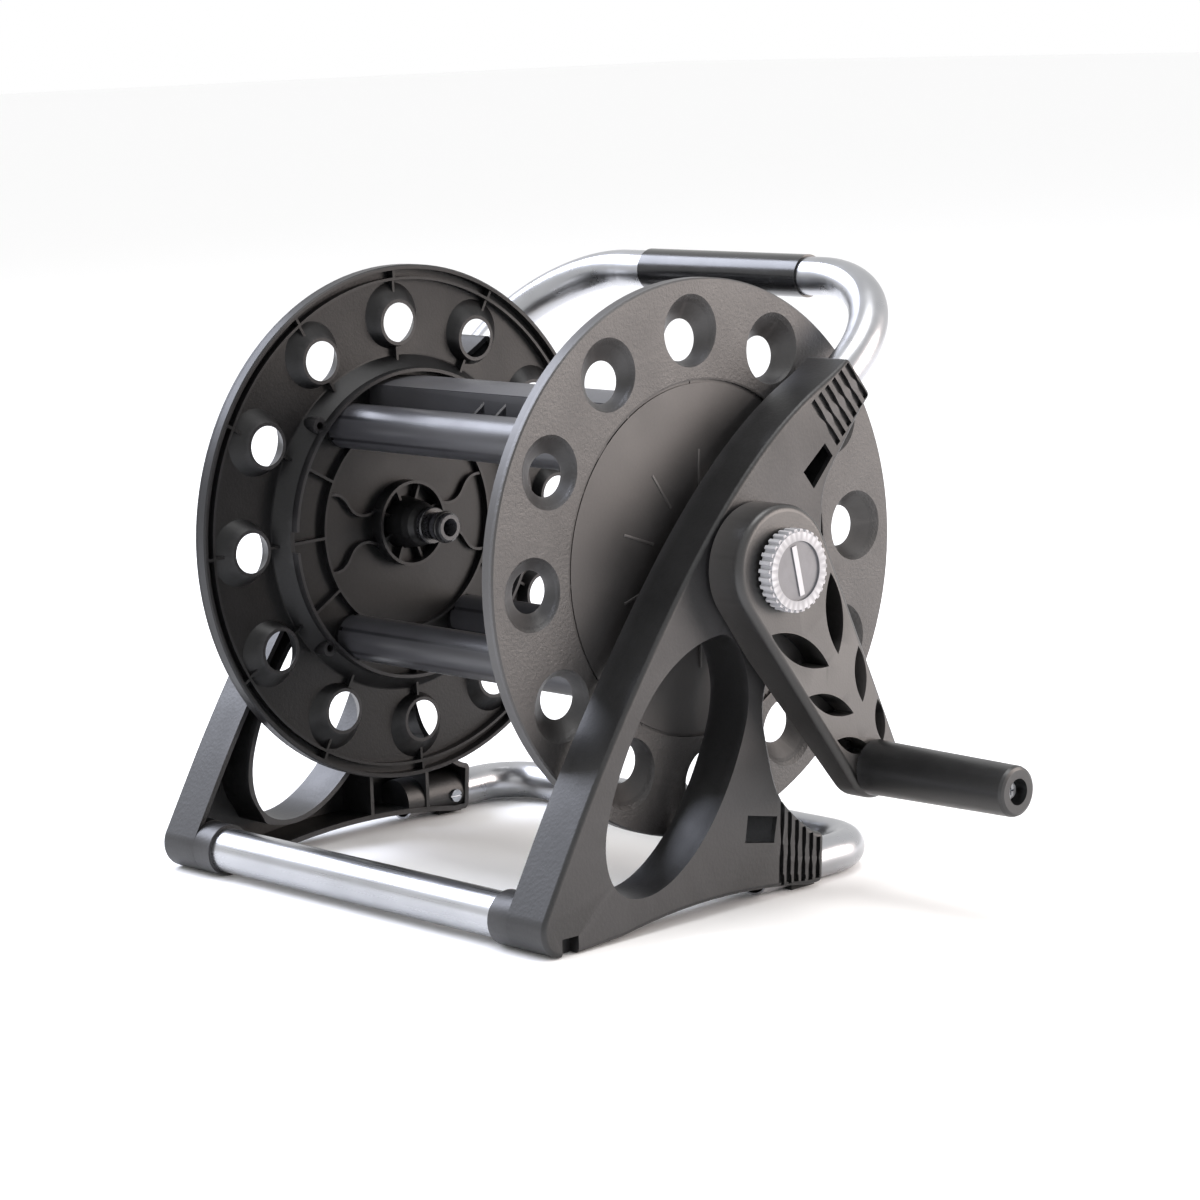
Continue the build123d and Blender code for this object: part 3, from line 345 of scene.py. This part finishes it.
def addBlock(place, size, turn=(0, 0, 0)):
    # a block at its size and place
    selectNothing()
    bpy.ops.mesh.primitive_cube_add(size=1, location=place, rotation=turn)
    cube = bpy.context.object
    cube.scale = Vector(size) / 1000
    bpy.ops.object.transform_apply(location=False, rotation=False, scale=True)
    return cube


def settle(piece):
    # place and turn go into the mesh
    selectNothing()
    piece.select_set(True)
    bpy.context.view_layer.objects.active = piece
    bpy.ops.object.transform_apply(location=True, rotation=True, scale=True)


def joinAll(name, pieces):
    selectNothing()
    for piece in pieces:
        piece.select_set(True)
    bpy.context.view_layer.objects.active = pieces[0]
    if len(pieces) > 1:
        bpy.ops.object.join()
    joined = bpy.context.object
    joined.name = name
    joined.data.name = name
    return joined


def pinchedBlock(place, size, turn, pinch, shift):
    # a block along local z that narrows to a waist in its middle, with the waist moved sideways
    block = addBlock(place, size, turn)
    bpy.ops.object.mode_set(mode="EDIT")
    for level in (-0.2, 0.0, 0.2):
        bpy.ops.mesh.select_all(action="SELECT")
        normal = block.matrix_world.to_3x3() @ Vector((0, 0, 1))
        height = Vector((0, 0, level * size[2] / 1000))
        bpy.ops.mesh.bisect(plane_co=block.matrix_world @ height, plane_no=normal)
    bpy.ops.object.mode_set(mode="OBJECT")
    for v in block.data.vertices:
        if abs(v.co.z) < 0.1 * size[2] / 1000:
            v.co.y = v.co.y * pinch + shift / 1000
    settle(block)
    return block


# slots in the frames' outer faces: six over the rear tube's socket, six over the handle's
slots = {
    "frameFace": 160.0, "depth": 2.3, "clear": 4.0,
    "lowerFrom": 19.0, "lowerPitch": 5.6, "lowerWidth": 3.3, "lowerTilt": -4, "lowerWaist": 0.45,
    "lowerTops": (-130.6, -138.0, -143.4, -148.2, -152.7, -155.9),
    "lowerBottoms": (-175.8, -176.5, -177.3, -178.2, -178.7, -178.7),
    "upperFrom": -4.0, "upperPitch": -6.4, "upperWidth": 3.6, "upperLength": 24.5, "upperGrow": 1.4,
    "upperWaist": 0.40, "upperShift": 0.5,
    "handleEnd": (89.2, 91.6), "handleSlope": 38.5,
    "notch": ((-138.2, -179.0), (11.5, 10.0)), "notchDepth": 7.0,
}


def slotCutter(side):
    blocks = []
    clear = slots["clear"]
    middle = side * (slots["frameFace"] + clear / 2 - slots["depth"] / 2)
    thick = slots["depth"] + clear
    for column, (top, bottom) in enumerate(zip(slots["lowerTops"], slots["lowerBottoms"])):
        y = slots["lowerFrom"] + slots["lowerPitch"] * column
        blocks.append(pinchedBlock(at(middle, y, (top + bottom) / 2),
                                   (thick, slots["lowerWidth"], top - bottom),
                                   (radians(slots["lowerTilt"]), 0, 0), slots["lowerWaist"], 0.0))
    slope = radians(slots["handleSlope"])
    for row in range(6):
        along = slots["upperFrom"] + slots["upperPitch"] * row
        y = slots["handleEnd"][0] + along * cos(slope)
        z = slots["handleEnd"][1] + along * sin(slope)
        length = slots["upperLength"] + slots["upperGrow"] * row
        blocks.append(pinchedBlock(at(middle, y, z), (thick, slots["upperWidth"], length),
                                   (slope, 0, 0), slots["upperWaist"], slots["upperShift"]))
    place, size = slots["notch"]
    deep = slots["notchDepth"] + clear
    foot = addBlock(at(side * (slots["frameFace"] + clear - deep / 2), *place), (deep, *size))
    settle(foot)
    blocks.append(foot)
    return blocks


def cutFrame(node, pieceName, side):
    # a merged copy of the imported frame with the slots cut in, which stands for it
    source = nodes[node]
    piece = source.copy()
    piece.data = source.data.copy()
    bpy.context.scene.collection.objects.link(piece)
    piece.name = pieceName
    piece.data.name = pieceName
    selectNothing()
    piece.select_set(True)
    bpy.context.view_layer.objects.active = piece
    bpy.ops.mesh.customdata_custom_splitnormals_clear()
    bpy.ops.object.mode_set(mode="EDIT")
    bpy.ops.mesh.select_all(action="SELECT")
    bpy.ops.mesh.remove_doubles(threshold=0.000002)
    bpy.ops.object.mode_set(mode="OBJECT")
    # one block at a time: neighbouring blocks never touch, so no cut meets another
    for cutter in slotCutter(side):
        selectNothing()
        piece.select_set(True)
        bpy.context.view_layer.objects.active = piece
        cut = piece.modifiers.new("slot", "BOOLEAN")
        cut.operation = "DIFFERENCE"
        cut.solver = "EXACT"
        cut.object = cutter
        bpy.ops.object.modifier_apply(modifier=cut.name)
        bpy.data.objects.remove(cutter)
    # a cut can leave a slot's wall open by a face or two
    bpy.ops.object.mode_set(mode="EDIT")
    bpy.ops.mesh.select_all(action="SELECT")
    bpy.ops.mesh.fill_holes(sides=0)
    bpy.ops.object.mode_set(mode="OBJECT")
    bpy.ops.object.shade_smooth_by_angle(angle=radians(28))
    weigh = piece.modifiers.new("weigh", "WEIGHTED_NORMAL")
    weigh.keep_sharp = True
    bpy.ops.object.modifier_apply(modifier=weigh.name)
    piece.data.materials.clear()
    piece.data.materials.append(finishes[nodeFinish[node]])
    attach(piece, "stand")
    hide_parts(node)
    print(pieceName, len(piece.data.polygons), "faces")
    return piece


cutFrame("right_frame", "rightFrameSlotted", 1)
cutFrame("left_frame", "leftFrameSlotted", -1)


# low radial ridges round the hub on the right disc
ticks = {
    "face": 122.5, "inner": 36.0, "outer": 59.0, "width": 1.5, "proud": 0.5, "buried": 0.3,
    "count": 10, "first": 16.5, "bevel": 0.3,
}


def discTicks(name, side):
    bars = []
    middle = side * (ticks["face"] + ticks["proud"] / 2 - ticks["buried"])
    reach = (ticks["inner"] + ticks["outer"]) / 2
    size = (ticks["proud"] + 2 * ticks["buried"], ticks["outer"] - ticks["inner"], ticks["width"])
    for i in range(ticks["count"]):
        turn = radians(ticks["first"] + i * 360 / ticks["count"])
        bar = addBlock(at(middle, reach * cos(turn), reach * sin(turn)), size, (turn, 0, 0))
        bpy.ops.object.mode_set(mode="EDIT")
        bpy.ops.mesh.select_all(action="SELECT")
        bpy.ops.mesh.bevel(offset=ticks["bevel"] / 1000, segments=2)
        bpy.ops.object.mode_set(mode="OBJECT")
        settle(bar)
        bars.append(bar)
    ridge = joinAll(name, bars)
    bpy.ops.object.shade_smooth_by_angle(angle=radians(40))
    ridge.data.materials.append(finishes["discSandTexturedPolypropylene"])
    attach(ridge, "drum")
    return ridge


discTicks("rightDiscRidges", 1)
print("disc ridges done")


# thin dark web inside the crank arm, a little above its open back: the leaves open onto it
web = {
    "angle": -63.13, "headAlong": 50.0, "headRadius": 24.6, "tailAlong": 112.0, "tailRadius": 17.2,
    "start": 164.6, "startAlong": 20.0, "lean": 6.1,
}
selectNothing()
for along, radius in ((web["headAlong"], web["headRadius"]), (web["tailAlong"], web["tailRadius"])):
    place = at(web["start"] + (along - web["startAlong"]) * sin(radians(web["lean"])),
               along * cos(radians(web["angle"])), along * sin(radians(web["angle"])))
    bpy.ops.mesh.primitive_circle_add(vertices=48, radius=radius / 1000,
                                      location=place, rotation=(0, radians(90), 0))
    bpy.context.object.name = "webEnd"
ends = [o for o in bpy.data.objects if o.name.startswith("webEnd")]
for end in ends:
    settle(end)
leafWeb = joinAll("crankLeafWeb", ends)
bpy.ops.object.mode_set(mode="EDIT")
bpy.ops.mesh.select_all(action="SELECT")
bpy.ops.mesh.convex_hull()
bpy.ops.object.mode_set(mode="OBJECT")
bpy.ops.object.shade_smooth_by_angle(angle=radians(30))

leafWeb.data.materials.append(finishes["crankFineGrainPolypropylene"])
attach(leafWeb, "drum")
print("leaf web done")


studio = {
    "floorSize": 40.0,
    "floorColour": "fafafa",
    "worldStrength": 1.0,
    # name, place, aims at, size, power, colour
    "lights": [
        ("leftSoftbox", (-2.1, -0.7, 1.9), (-0.05, 0, 0.16), 1.8, 90, "e9eeff"),
        ("rearRightSoftbox", (2.0, 1.75, 0.75), (0.05, 0, 0.20), 1.9, 66, "fff0e8"),
        ("overhead", (0.3, 0.2, 2.4), (0, 0, 0.2), 1.4, 24, "ffffff"),
    ],
}

bpy.ops.object.select_all(action="DESELECT")
bpy.ops.mesh.primitive_grid_add(x_subdivisions=8, y_subdivisions=8,
                                size=studio["floorSize"], location=(0, 0, 0))
floor = bpy.context.object
floor.name = "floor"
floorMaterial, floorTree, floorShader = newMaterial("floorMattBoard")
floorShader.inputs["Base Color"].default_value = hexColour(studio["floorColour"])
floorShader.inputs["Roughness"].default_value = 0.9
floor.data.materials.append(floorMaterial)

world = bpy.data.worlds.new("studio")
world.use_nodes = True
world.node_tree.nodes["Background"].inputs["Color"].default_value = (1, 1, 1, 1)
world.node_tree.nodes["Background"].inputs["Strength"].default_value = studio["worldStrength"]
bpy.context.scene.world = world
bpy.context.scene.view_settings.view_transform = "Standard"

for name, place, target, size, power, colour in studio["lights"]:
    data = bpy.data.lights.new(name, "AREA")
    data.shape = "DISK"
    data.size = size
    data.energy = power
    data.color = hexColour(colour)[:3]
    light = bpy.data.objects.new(name, data)
    light.location = place
    light.rotation_euler = (Vector(target) - Vector(place)).to_track_quat("-Z", "Y").to_euler()
    bpy.context.scene.collection.objects.link(light)
print("studio lit")
